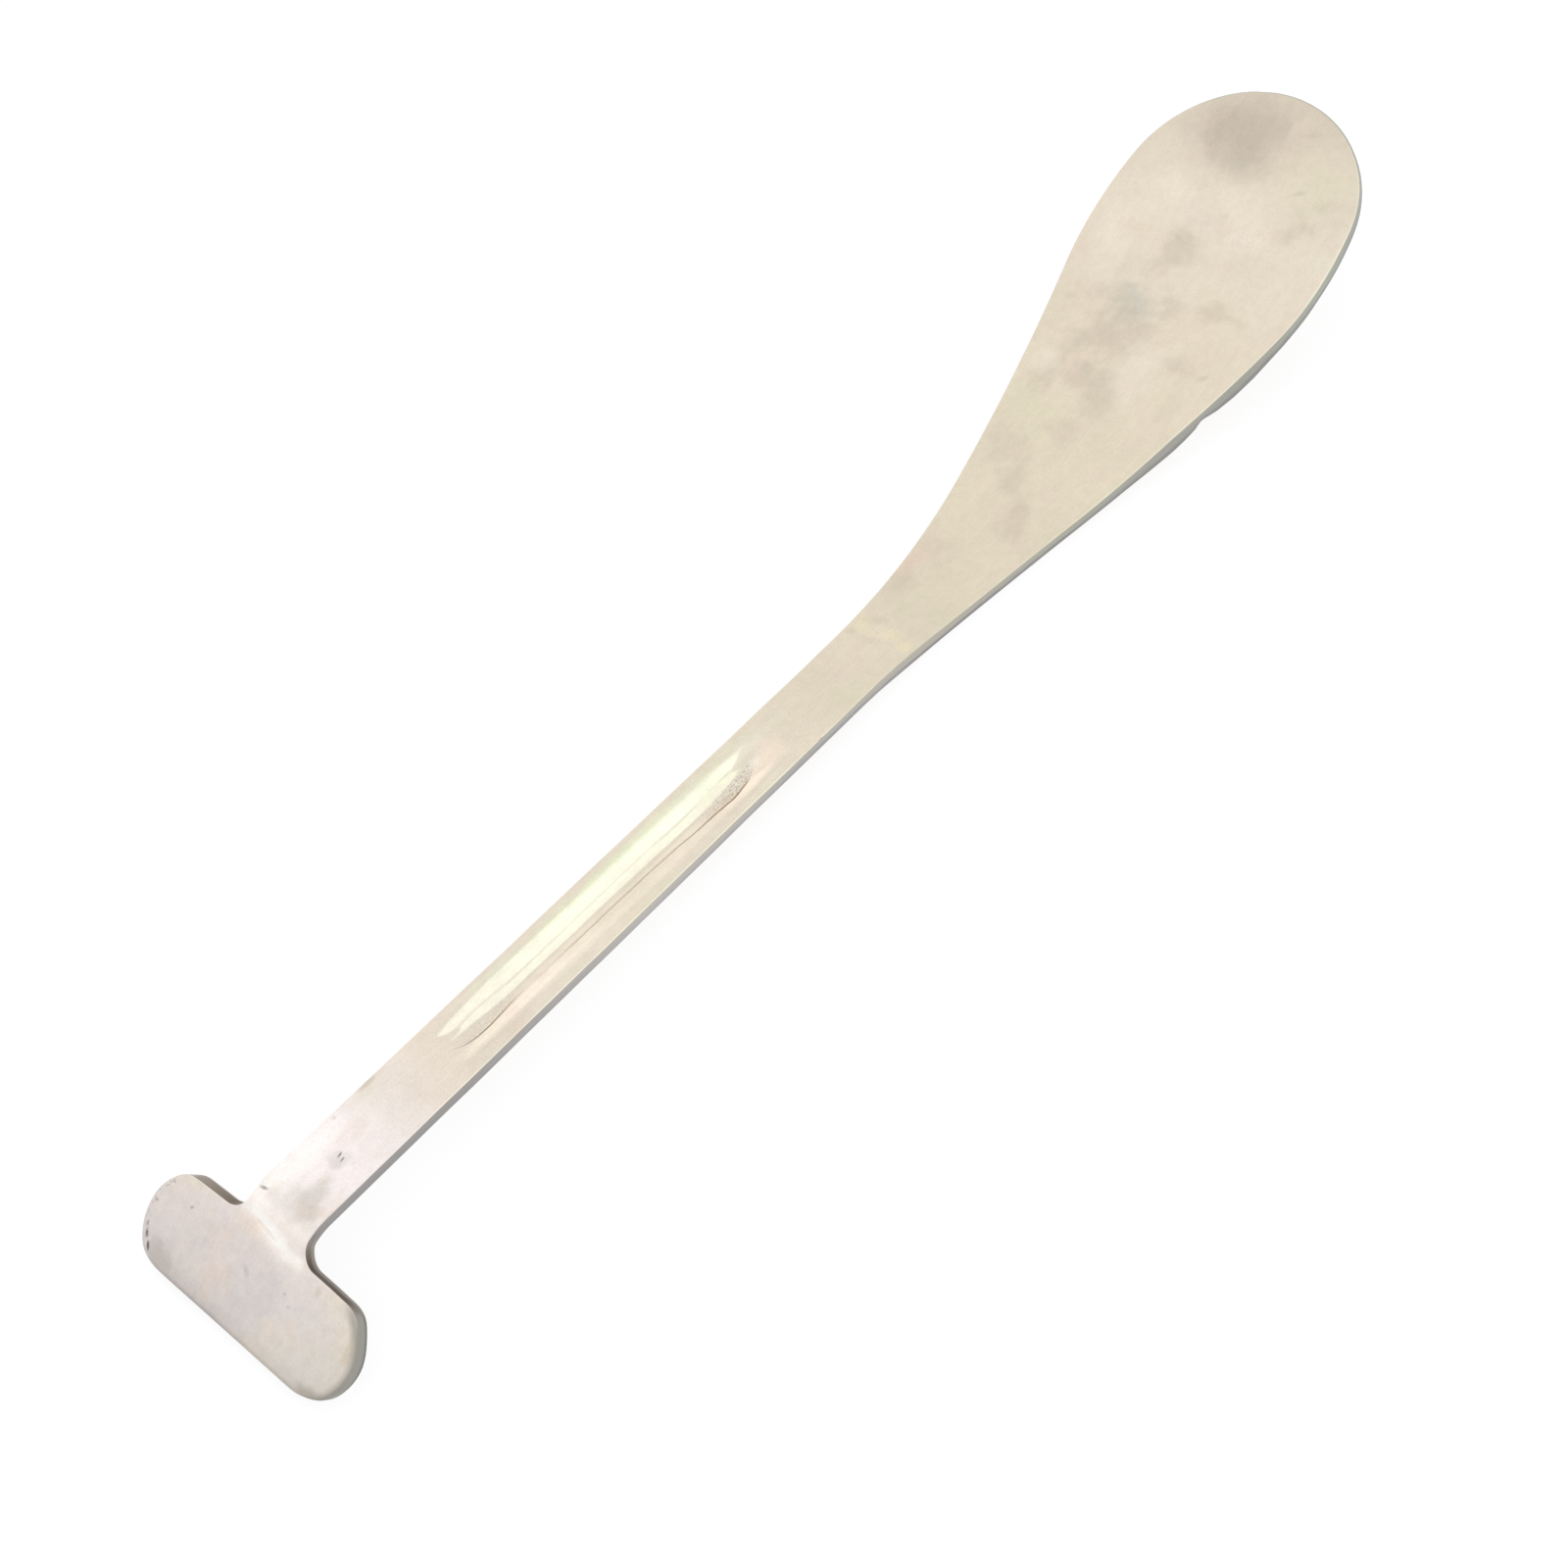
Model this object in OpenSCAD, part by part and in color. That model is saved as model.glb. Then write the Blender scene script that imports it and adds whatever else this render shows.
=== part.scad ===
// Spatula for abdominal and gynecological work, cut and bent from one steel sheet.
// Sizes are in millimetres. The blank is drawn flat, in s along the sheet's upper face and
// y across it, and then bent along s: end plate, fold, straight handle, neck, curved blade.
// s = 0 is where the handle meets the fold, and s grows towards the blade's tip.

/* [Sheet] */
// Thickness of the sheet
sheet_t = 2.4; // [1.6:0.1:3.2]
// Radius that softens every edge of the sheet
edge_r = 0.4; // [0.2:0.05:0.7]

/* [Handle] */
// Width of the handle
handle_w = 13.5; // [12:0.5:20]
// Length of the straight handle, from the fold to the neck
handle_len = 132; // [118:1:180]

/* [End plate] */
// Length of the end plate, across the handle
plate_len = 47.8; // [40:0.2:60]
// Height of the end plate, from its lower edge to its shoulders
plate_h = 16.7; // [13:0.1:22]
// Angle of the fold that turns the end plate down
plate_fold = 36; // [25:1:50]
// Outer radius of the fold
fold_r = 9.8; // [7:0.2:14]
// Flat stretch between the fold and the plate's shoulders
plate_gap = 1.4; // [0.5:0.1:4]
// Slope of the shoulders, down towards the plate's ends
shoulder_slope = 2.7; // [1:0.1:5]
// Radius of the fillets between the shoulders and the handle
shoulder_fillet = 3.5; // [2:0.1:5]

/* [Stiffening groove] */
// Distance from the fold to the near end of the groove
groove_start = 31.5; // [20:0.5:45]
// Length of the groove at the handle's upper face
groove_len = 79; // [50:0.5:85]
// Width of the groove at the handle's upper face
groove_w = 9.6; // [7:0.1:10]
// Depth of the groove
groove_d = 1.5; // [0.8:0.1:2]
// Radius of the groove's floor, across the handle
groove_floor_r = 2; // [1:0.1:3]
// Radius in which the groove's floor rises at each end
groove_end_r = 35; // [20:1:60]

/* [Blade] */
// Angle by which the sheet dips at the neck
neck_dip = 3.1; // [1:0.1:6]
// Length of sheet that the dip at the neck takes up
neck_bend_len = 3; // [2:0.5:8]
// Radius of the upward curve of the blade
blade_curve_r = 236; // [190:1:400]
// Length of the blade, from the neck to the tip
blade_len = 147; // [130:1:175]
// Greatest width of the blade
blade_w = 51; // [44:0.5:60]
// Angle of the blade's straight flanks to its middle line
flank_angle = 12.1; // [10:0.1:14]
// Radius of the hollow curve between the handle and the flanks
flare_r = 260; // [180:5:320]
// Radius of the blade's sides at its greatest width
side_r = 71; // [56:1:90]
// Radius of the blade's rounded tip
tip_r = 24.9; // [20:0.1:27]

/* [Hidden] */

steel = [0.80, 0.78, 0.72];
rounding_steps = 4;     // facets on the rounding of an edge
plate_end_steps = 14;   // facets on each round end of the plate
fillet_steps = 7;
fold_steps = 4;         // strips between the fillets and the straight handle
flare_steps = 16;
flank_steps = 14;
side_steps = 8;
tip_steps = 17;
groove_fn = 96;
groove_over = 1.5;      // how far the groove's cutter stands above the handle
rib_bite = 0.2;         // how far the raised rib reaches into the sheet

function degrees_of(arc, radius) = arc / radius * 180 / PI;
function arc_length(angle, radius) = angle * PI / 180 * radius;

// The flat blank: the half with positive y, as points [s, y] from the plate's lower edge to the tip.
handle_half = handle_w / 2;
fold_len = arc_length(plate_fold, fold_r);
shoulder_s = -(fold_len + plate_gap);
plate_low_s = shoulder_s - plate_h;
// each end of the plate is an arc that touches the lower edge and the sloping shoulder
plate_end_r = (plate_h - tan(shoulder_slope) * (plate_len / 2 - handle_half))
    / (1 + 1 / cos(shoulder_slope) - tan(shoulder_slope));
plate_end_s = plate_low_s + plate_end_r;
plate_end_y = plate_len / 2 - plate_end_r;
fillet_s = shoulder_s + shoulder_fillet * (1 - sin(shoulder_slope)) / cos(shoulder_slope);
fillet_y = handle_half + shoulder_fillet;

// the tip's arc lies inside the side's arc and touches it, and the flank touches the side's arc
tip_s = handle_len + blade_len;
tip_centre_s = tip_s - tip_r;
side_centre_y = blade_w / 2 - side_r;
side_centre_s = tip_centre_s - sqrt(pow(side_r - tip_r, 2) - pow(side_centre_y, 2));
side_to_tip = atan2(tip_centre_s - side_centre_s, -side_centre_y);
flank_end_s = side_centre_s - side_r * sin(flank_angle);
flank_end_y = side_centre_y + side_r * cos(flank_angle);
flare_s = flank_end_s - (flank_end_y - handle_half) / tan(flank_angle) - flare_r * tan(flank_angle / 2);
flank_start_s = flare_s + flare_r * sin(flank_angle);
flank_start_y = handle_half + flare_r * (1 - cos(flank_angle));

function plate_end(k) = let (a = k * (180 - shoulder_slope) / plate_end_steps)
    [plate_end_s - plate_end_r * cos(a), plate_end_y + plate_end_r * sin(a)];
function fillet(k) = let (a = shoulder_slope + k * (90 - shoulder_slope) / fillet_steps)
    [fillet_s - shoulder_fillet * cos(a), fillet_y - shoulder_fillet * sin(a)];
function flare(k) = let (a = k * flank_angle / flare_steps)
    [flare_s + flare_r * sin(a), handle_half + flare_r * (1 - cos(a))];
function flank(k) = let (t = k / flank_steps)
    [flank_start_s + t * (flank_end_s - flank_start_s), flank_start_y + t * (flank_end_y - flank_start_y)];
function side(k) = let (a = -flank_angle + k * (flank_angle + side_to_tip) / side_steps)
    [side_centre_s + side_r * sin(a), side_centre_y + side_r * cos(a)];
function tip(k) = let (a = side_to_tip + k * (90 - side_to_tip) / (tip_steps + 0.5))
    [tip_centre_s + tip_r * sin(a), tip_r * cos(a)];

half_blank = [
    for (k = [0 : plate_end_steps]) plate_end(k),
    for (k = [0 : fillet_steps]) fillet(k),
    for (k = [1 : fold_steps]) [fillet_s * (1 - k / fold_steps), handle_half],
    for (k = [0 : flare_steps]) flare(k),
    for (k = [1 : flank_steps]) flank(k),
    for (k = [1 : side_steps]) side(k),
    for (k = [1 : tip_steps]) tip(k)
];
half_count = len(half_blank);
loop_count = 2 * half_count;

// Direction of the outline at point i, and the point moved inwards by inset
function along(i) = let (
        before = i == 0 ? [half_blank[0][0], 0] : half_blank[i - 1],
        after = i == half_count - 1 ? [half_blank[i][0], -half_blank[i][1]] : half_blank[i + 1],
        to_here = (half_blank[i] - before) / norm(half_blank[i] - before),
        from_here = (after - half_blank[i]) / norm(after - half_blank[i])
    ) (to_here + from_here) / norm(to_here + from_here);
function inset_point(i, inset) = let (d = along(i))
    half_blank[i] + inset * [d[1], -d[0]];

// The bends, as [length, turn] in order along the sheet; a positive turn curves upwards
bends = [
    [plate_h + plate_gap, 0],
    [fold_len, -plate_fold],
    [handle_len - neck_bend_len / 2, 0],
    [neck_bend_len, -neck_dip],
    [blade_len, degrees_of(blade_len, blade_curve_r)]
];
// Where the point at distance s from the sheet's start lies, as [x, z, direction]
function bent(s, from, i = 0) = let (
        last = i == len(bends) - 1,
        run = last ? s : min(s, bends[i][0]),
        turn = bends[i][1] * run / bends[i][0],
        a = from[2],
        r = turn == 0 ? 0 : run / (turn * PI / 180),
        here = turn == 0
            ? [from[0] + run * cos(a), from[1] + run * sin(a), a]
            : [from[0] + r * (sin(a + turn) - sin(a)), from[1] - r * (cos(a + turn) - cos(a)), a + turn]
    ) last || s <= bends[i][0] ? here : bent(s - bends[i][0], here, i + 1);
fold_end = [-fold_r * sin(plate_fold), -fold_r * (1 - cos(plate_fold))];
plate_low = [
    fold_end[0] - (plate_h + plate_gap) * cos(plate_fold),
    fold_end[1] - (plate_h + plate_gap) * sin(plate_fold),
    plate_fold
];
// A point of the sheet at s and y, below its upper face by depth
function on_sheet(s, y, depth) = let (b = bent(s - plate_low_s, plate_low))
    [b[0] + depth * sin(b[2]), y, b[1] - depth * cos(b[2])];

// The edge of the sheet, as [inset, depth] from the upper face to the lower one
edge_profile = [
    for (k = [0 : rounding_steps]) let (a = 90 * k / rounding_steps)
        [edge_r * (1 - sin(a)), edge_r * (1 - cos(a))],
    for (k = [0 : rounding_steps]) let (a = 90 * k / rounding_steps)
        [edge_r * (1 - cos(a)), sheet_t - edge_r * (1 - sin(a))]
];
function edge_loop(row) = let (
        inset = row[0],
        half = [for (i = [0 : half_count - 1]) inset_point(i, inset)]
    ) [
        for (i = [0 : half_count - 1]) on_sheet(half[i][0], half[i][1], row[1]),
        for (i = [half_count - 1 : -1 : 0]) on_sheet(half[i][0], -half[i][1], row[1])
    ];
sheet_points = [for (row = edge_profile) each edge_loop(row)];
last_row = (len(edge_profile) - 1) * loop_count;
function mirrored(i) = loop_count - 1 - i;
sheet_faces = [
    for (i = [0 : half_count - 2])
        each [[i, i + 1, mirrored(i)], [i + 1, mirrored(i + 1), mirrored(i)]],
    for (i = [0 : half_count - 2])
        each [
            [last_row + i, last_row + mirrored(i), last_row + i + 1],
            [last_row + i + 1, last_row + mirrored(i), last_row + mirrored(i + 1)]
        ],
    for (row = [0 : len(edge_profile) - 2], i = [0 : loop_count - 1])
        let (a = row * loop_count + i, b = row * loop_count + (i + 1) % loop_count)
        each [[a, a + loop_count, b], [b, a + loop_count, b + loop_count]]
];

// At rest the sheet touches the ground with the rounded lower edge of the plate and the blade's belly
edge_centre = [
    plate_low[0] + edge_r * cos(plate_fold) + (sheet_t - edge_r) * sin(plate_fold),
    plate_low[1] + edge_r * sin(plate_fold) - (sheet_t - edge_r) * cos(plate_fold)
];
neck_end = bent(handle_len + neck_bend_len / 2 - plate_low_s, plate_low);
blade_centre = [
    neck_end[0] - blade_curve_r * sin(neck_end[2]),
    neck_end[1] + blade_curve_r * cos(neck_end[2])
];
edge_to_blade = blade_centre - edge_centre;
rest_tilt = atan2(edge_to_blade[1], edge_to_blade[0])
    - asin((blade_curve_r + sheet_t - edge_r) / norm(edge_to_blade));
rest_x = [for (p = sheet_points) p[0] * cos(rest_tilt) + p[2] * sin(rest_tilt)];
rest_z = [for (p = sheet_points) p[2] * cos(rest_tilt) - p[0] * sin(rest_tilt)];
middle_x = (min(rest_x) + max(rest_x)) / 2;
ground_z = min(rest_z);

// The groove's flanks touch its rounded floor and reach the upper face at the groove's width
groove_flank = asin(groove_floor_r / norm([groove_w / 2, groove_floor_r - groove_d]))
    - atan((groove_floor_r - groove_d) / (groove_w / 2));
groove_end_angle = acos(1 - (groove_d + rib_bite + groove_over / 3) / groove_end_r);
groove_end_len = sqrt(pow(groove_end_r, 2) - pow(groove_end_r - groove_d, 2));

// Turns a part from the handle's own frame, with the handle level, to how it rests on the ground
module laid_down() {
    translate([-middle_x, 0, -ground_z]) rotate([0, rest_tilt, 0]) children();
}

module bent_sheet() {
    polyhedron(points = sheet_points, faces = sheet_faces, convexity = 6);
}

// Section of the pressed groove, with its floor at the radius where the groove's ends turn
module press_section(wall) {
    floor_r = groove_floor_r + wall;
    centre = groove_end_r - groove_floor_r;
    top = groove_end_r - groove_d - groove_over;
    touch = [centre + floor_r * cos(groove_flank), floor_r * sin(groove_flank)];
    spread = touch[1] + (touch[0] - top) / tan(groove_flank);
    translate([centre, 0]) circle(r = floor_r, $fn = groove_fn);
    polygon([[touch[0], -touch[1]], [touch[0], touch[1]], [top, spread], [top, -spread]]);
}

// The form that the press gives the sheet: its upper face with no wall, its lower face with the sheet's
module press_form(wall) {
    straight = groove_len - 2 * groove_end_len;
    translate([groove_start + groove_end_len, 0, groove_end_r - groove_d]) {
        rotate([0, 90, 0]) linear_extrude(straight) press_section(wall);
        mirror([1, 0, 0]) press_end(wall);
        translate([straight, 0, 0]) press_end(wall);
    }
}

module press_end(wall) {
    rotate([90, 90, 0]) rotate_extrude(angle = groove_end_angle, $fn = groove_fn) press_section(wall);
}

// What the press pushes out below the handle
module raised_rib() {
    depth = groove_d + rib_bite;
    intersection() {
        press_form(sheet_t);
        translate([groove_start - groove_end_len, -handle_half, -sheet_t - depth])
            cube([groove_len + 2 * groove_end_len, handle_w, depth + rib_bite]);
    }
}

module spatula() {
    color(steel) laid_down() difference() {
        union() {
            bent_sheet();
            raised_rib();
        }
        press_form(0);
    }
}

spatula();
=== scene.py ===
"""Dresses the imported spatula: one dense mesh of the bent and pressed sheet with softened edges, worn satin
steel with its stains and nicks, a pale floor, soft studio light and the camera."""
import math

import bpy
import numpy as np
from mathutils import Matrix, Vector, noise


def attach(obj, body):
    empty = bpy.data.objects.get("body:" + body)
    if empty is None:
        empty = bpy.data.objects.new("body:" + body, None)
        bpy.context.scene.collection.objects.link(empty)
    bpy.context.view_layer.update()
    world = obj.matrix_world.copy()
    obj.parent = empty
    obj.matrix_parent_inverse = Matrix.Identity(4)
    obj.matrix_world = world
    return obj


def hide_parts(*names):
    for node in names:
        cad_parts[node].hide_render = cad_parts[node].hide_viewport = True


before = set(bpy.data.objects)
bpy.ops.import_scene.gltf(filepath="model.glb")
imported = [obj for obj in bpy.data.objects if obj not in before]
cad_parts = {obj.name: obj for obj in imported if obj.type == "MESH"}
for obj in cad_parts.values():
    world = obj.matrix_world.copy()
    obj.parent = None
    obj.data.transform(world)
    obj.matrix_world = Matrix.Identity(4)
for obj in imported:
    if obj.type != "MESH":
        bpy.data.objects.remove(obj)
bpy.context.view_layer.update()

MM = 0.001

# The sheet, in millimetres and degrees, with the names and values of the part's source.
# s runs along the upper face from the fold (0) to the tip, y across, and depth down into the sheet.
SHEET_T = 2.4
EDGE_R = 0.4
HANDLE_W = 13.5
HANDLE_LEN = 132.0
PLATE_LEN = 47.8
PLATE_H = 16.7
PLATE_FOLD = 36.0
FOLD_R = 9.8
PLATE_GAP = 1.4
SHOULDER_SLOPE = 2.7
SHOULDER_FILLET = 3.5
GROOVE_START = 31.5
GROOVE_LEN = 79.0
GROOVE_W = 9.6
GROOVE_D = 1.5
GROOVE_FLOOR_R = 2.0
NECK_DIP = 3.1
NECK_BEND_LEN = 3.0
BLADE_LEN = 147.0
BLADE_W = 51.0
BLADE_CURVE_R = 236.0
FLANK_ANGLE = 12.1
FLARE_R = 260.0
SIDE_R = 71.0
TIP_R = 24.9

HANDLE_HALF = HANDLE_W / 2
FOLD = math.radians(PLATE_FOLD)
SLOPE = math.radians(SHOULDER_SLOPE)
FLANK = math.radians(FLANK_ANGLE)
FOLD_LEN = FOLD * FOLD_R
SHOULDER_S = -(FOLD_LEN + PLATE_GAP)
PLATE_LOW_S = SHOULDER_S - PLATE_H
TIP_S = HANDLE_LEN + BLADE_LEN

# The plate's round ends: their radius and the middle of the left one
SHOULDER_DROP = math.tan(SLOPE) * (PLATE_LEN / 2 - HANDLE_HALF)
END_R = (PLATE_H - SHOULDER_DROP) / (1 + 1 / math.cos(SLOPE) - math.tan(SLOPE))
END_S = PLATE_LOW_S + END_R
END_Y = PLATE_LEN / 2 - END_R

# Steps of the mesh: across the sheet, round each arris, and along the outline from the plate to the tip
ACROSS = 64
CROWDING = 0.6            # share by which the columns crowd towards the edges
ROUNDING_STEPS = 5
END_STEPS, SHOULDER_STEPS, FILLET_STEPS, HANDLE_STEPS = 40, 10, 14, 220
FLARE_STEPS, FLANK_STEPS, SIDE_STEPS, TIP_STEPS = 60, 58, 56, 54
TIP_END_Y = 2.0           # the last station's half width, beyond which one row closes the tip

# How the real sheet departs from the drawn one
TRIM = 0.05               # material that grinding took off the outline
WAVE = 0.03               # unevenness of the hand-finished faces
END_SHRINK = 0.25         # share of the floor's lift by which the groove's walls draw in at its ends
LIP = 0.08                # depth over which the groove's floor blends into its walls
LEAN = 0.5                # lean of the left shoulder's edge over the sheet's thickness

# Waves of the hand-finished faces: length along the sheet, length across it, phase, share
WAVES = [
    (4.1, 6.7, 0.4, 1.0), (7.3, -3.9, 1.9, 1.0), (11.9, 9.1, 4.2, 1.0), (2.3, 2.9, 2.2, 0.6),
    (2.9, -2.1, 0.0, 0.5),
]

# Dents in the upper face: s, y, half length, half width, turn in degrees, depth
DENTS = [
    (8.3, -0.5, 0.5, 0.28, 60, 0.16),
    (7.5, -1.35, 0.55, 0.3, 100, 0.13),
    (-2.5, 5.7, 0.35, 0.9, 15, 0.14),
    (139.6, -2.6, 0.4, 1.2, 10, 0.04),
    (244.6, 5.5, 0.9, 0.4, 60, 0.02),
    (-12.3, 15.8, 0.35, 0.6, 40, 0.12),
    (-14.9, 22.7, 0.35, 0.5, 0, 0.12),
    (-18.2, 21.7, 0.9, 0.35, 10, 0.16),
    (-20.9, 21.3, 1.2, 0.4, 25, 0.18),
    (-11.6, 0.2, 0.3, 0.3, 0, 0.06),
]

# The groove along s: its floor's depth, how far left of the middle it lies, how softly its shoulders round
FLOOR_DEPTH = [
    (31.5, 0.0), (33.5, 0.45), (36, 0.85), (40, 1.15), (47, 1.6), (91, 1.6), (97, 1.45), (101, 1.1),
    (104.5, 0.45), (107, 0.12), (110.5, 0.0),
]
OFF_CENTRE = [
    (33, 0.3), (42, 0.4), (50, 0.6), (58, 0.45), (70, 0.37), (78, 0.1), (88, 0.0), (94, -0.25),
    (100, -0.2), (105, 0.0),
]
SHOULDER_SOFT = [
    (32, 0.20), (52, 0.22), (60, 0.36), (76, 0.38), (90, 0.45), (97, 0.34), (110, 0.25),
]

# The crease on the right of the groove's floor: where it lies, the height of its step, and how much darker
# the line along it is
CREASE_Y = [
    (32.2, -0.2), (33.3, -0.65), (35, -1.1), (37.5, -1.3), (40, -1.3), (45, -0.85), (52, -0.95),
    (62, -1.1), (76, -1.3), (84, -1.6), (88, -2.05), (93, -2.25), (97, -2.7), (99.7, -2.4), (102, -1.9),
    (104, -0.95), (105.6, 0.1),
]
CREASE_STEP = [
    (31.8, 0.0), (33.6, 0.15), (41, 0.16), (46, 0.05), (52, 0.02), (58, 0.08), (82, 0.10), (88, 0.15),
    (99, 0.2), (103, 0.14), (105.8, 0.0),
]
CREASE_DARKENING = [
    (32, 0.0), (34.5, 0.6), (38, 1.0), (41, 0.6), (45, 0.3), (48, 0.0), (56, 0.1), (60, 0.35), (80, 0.3),
    (88, 0.5), (91, 0.7), (94, 1.0), (98, 1.0), (100, 0.6), (103, 0.3), (105, 0.0),
]

# The ridge along the groove's left wall, and the worn feet at the groove's ends
RIDGE_Y = [
    (33, 1.7), (36, 2.0), (40, 2.2), (44, 2.0), (48, 1.75), (60, 1.65), (80, 1.6), (87, 1.3), (92, 1.3),
    (97, 1.55), (101, 1.5), (105, 1.4),
]
RIDGE_HEIGHT = [
    (32, 0.0), (34, 0.09), (46, 0.1), (52, 0.1), (60, 0.085), (80, 0.08), (86, 0.11), (90, 0.1),
    (94, 0.04), (98, 0.05), (101, 0.1), (105, 0.0),
]
FEET = [
    (32.5, 0.0), (35, 0.3), (44, 0.3), (47, 0.0), (89, 0.0), (94, 0.5), (98, 0.9), (104, 1.0),
    (105.8, 0.0),
]

# How far the blade's lower right arris bulges, with a notch where two grinding strokes met: s, reach
EDGE_BULGES = [
    (185, 0.0), (195, 0.15), (201, 0.4), (205, 0.57), (208, 0.48), (211, 0.21), (212.4, -0.25),
    (213.2, -0.27), (214, -0.07), (216, 0.43), (220, 0.81), (225, 0.83), (230, 0.54), (236, 0.28),
    (240, 0.18), (243.5, 0.04), (246, 0.0),
]

# How far the plate's round ends bulge: side, angle round the end's middle and its reach, height
END_BULGES = [
    (-1, 58, 20, 0.68), (-1, 5, 34, 0.4), (-1, -45, 20, 0.3), (1, 62, 16, 0.16), (1, -22, 14, 0.12),
    (1, -50, 21, 0.52),
]

# Where the right edge of the neck and the blade was ground back further: s, reach along it, inset
GROUND_BACK = [(141, 10, 0.45), (205, 13, 0.42), (250, 10, 0.38)]


def smooth(value, low, high):
    t = np.clip((value - low) / (high - low), 0, 1)
    return t * t * (3 - 2 * t)


def hump(value, middle, reach):
    return np.exp(-((value - middle) / reach) ** 2)


def along_line(points, s, corner=1.2):
    """Values at distances s on a line through the points, with its corners rounded a few millimetres."""
    step, reach, beyond = 0.25, 3, 10
    fine = np.arange(PLATE_LOW_S - beyond, TIP_S + beyond, step)
    weights = hump(np.arange(-reach, reach + step, step), 0, corner)
    line = np.interp(fine, *np.array(points).T)
    return np.interp(s, fine, np.convolve(line, weights / weights.sum(), "same"))


def half_outline():
    """The blank's outline for positive y: points and inward directions, each as rows of (s, y)."""
    points, inward = [], []

    def add(s, y, ds, dy):
        points.append((s, y))
        inward.append((ds, dy))

    def arc(s, y, radius, start, end, steps, sign=1, skip=1):
        """Points at s + radius sin a and y + radius cos a, with the metal towards the centre or away."""
        for k in range(skip, steps + 1):
            a = start + (end - start) * k / steps
            add(s + radius * math.sin(a), y + radius * math.cos(a), -sign * math.sin(a), -sign * math.cos(a))

    def line(s0, y0, s1, y1, steps):
        run = math.hypot(s1 - s0, y1 - y0)
        ds, dy = (y1 - y0) / run, -(s1 - s0) / run
        for k in range(1, steps + 1):
            add(s0 + (s1 - s0) * k / steps, y0 + (y1 - y0) * k / steps, ds, dy)

    # the plate's end, its shoulder and the fillet to the handle
    arc(END_S, END_Y, END_R, -math.pi / 2, math.pi / 2 - SLOPE, END_STEPS, skip=0)
    fillet_s = SHOULDER_S + SHOULDER_FILLET * (1 - math.sin(SLOPE)) / math.cos(SLOPE)
    fillet_y = HANDLE_HALF + SHOULDER_FILLET
    first = (fillet_s - SHOULDER_FILLET * math.cos(SLOPE), fillet_y - SHOULDER_FILLET * math.sin(SLOPE))
    line(*points[-1], *first, SHOULDER_STEPS)
    arc(fillet_s, fillet_y, SHOULDER_FILLET, -math.pi / 2 - SLOPE, -math.pi, FILLET_STEPS, sign=-1)

    # the handle, and the blade with its flare, straight flank, side and tip
    tip_centre = TIP_S - TIP_R
    side_y = BLADE_W / 2 - SIDE_R
    side_s = tip_centre - math.sqrt((SIDE_R - TIP_R) ** 2 - side_y ** 2)
    side_to_tip = math.atan2(tip_centre - side_s, -side_y)
    flank_s, flank_y = side_s - SIDE_R * math.sin(FLANK), side_y + SIDE_R * math.cos(FLANK)
    flare_s = flank_s - (flank_y - HANDLE_HALF) / math.tan(FLANK) - FLARE_R * math.tan(FLANK / 2)
    line(*points[-1], flare_s, HANDLE_HALF, HANDLE_STEPS)
    arc(flare_s, HANDLE_HALF + FLARE_R, FLARE_R, math.pi, math.pi - FLANK, FLARE_STEPS, sign=-1)
    line(*points[-1], flank_s, flank_y, FLANK_STEPS)
    arc(side_s, side_y, SIDE_R, -FLANK, side_to_tip, SIDE_STEPS)
    arc(tip_centre, 0, TIP_R, side_to_tip, math.acos(TIP_END_Y / TIP_R), TIP_STEPS)
    return np.array(points), np.array(inward)


def sheet_line(s):
    """Where the upper face lies at distance s: x, z and direction in the frame of the level handle."""
    plate_run = PLATE_H + PLATE_GAP
    low = (-FOLD_R * math.sin(FOLD) - plate_run * math.cos(FOLD),
           -FOLD_R * (1 - math.cos(FOLD)) - plate_run * math.sin(FOLD), FOLD)
    bends = [(plate_run, 0), (FOLD_LEN, -1 / FOLD_R), (HANDLE_LEN - NECK_BEND_LEN / 2, 0),
             (NECK_BEND_LEN, -math.radians(NECK_DIP) / NECK_BEND_LEN), (BLADE_LEN, 1 / BLADE_CURVE_R)]
    x, z, way = np.zeros(len(s)), np.zeros(len(s)), np.zeros(len(s))
    start, state = PLATE_LOW_S, low
    for number, (run, bend) in enumerate(bends):
        here = ((s >= start) | (number == 0)) & ((s < start + run) | (number == len(bends) - 1))

        def walk(d):
            a = state[2] + d * bend
            if bend == 0:
                return state[0] + d * math.cos(state[2]), state[1] + d * math.sin(state[2]), a
            return (state[0] + (np.sin(a) - math.sin(state[2])) / bend,
                    state[1] - (np.cos(a) - math.cos(state[2])) / bend, a)
        for out, value in zip((x, z, way), walk(s - start)):
            out[here] = value[here] if isinstance(value, np.ndarray) else value
        state = tuple(float(v) for v in walk(run))
        start += run
    return x, z, way


def soft_max(a, b, soft):
    h = np.clip(0.5 + 0.5 * (a - b) / soft, 0, 1)
    return b * (1 - h) + a * h + soft * h * (1 - h)


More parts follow.
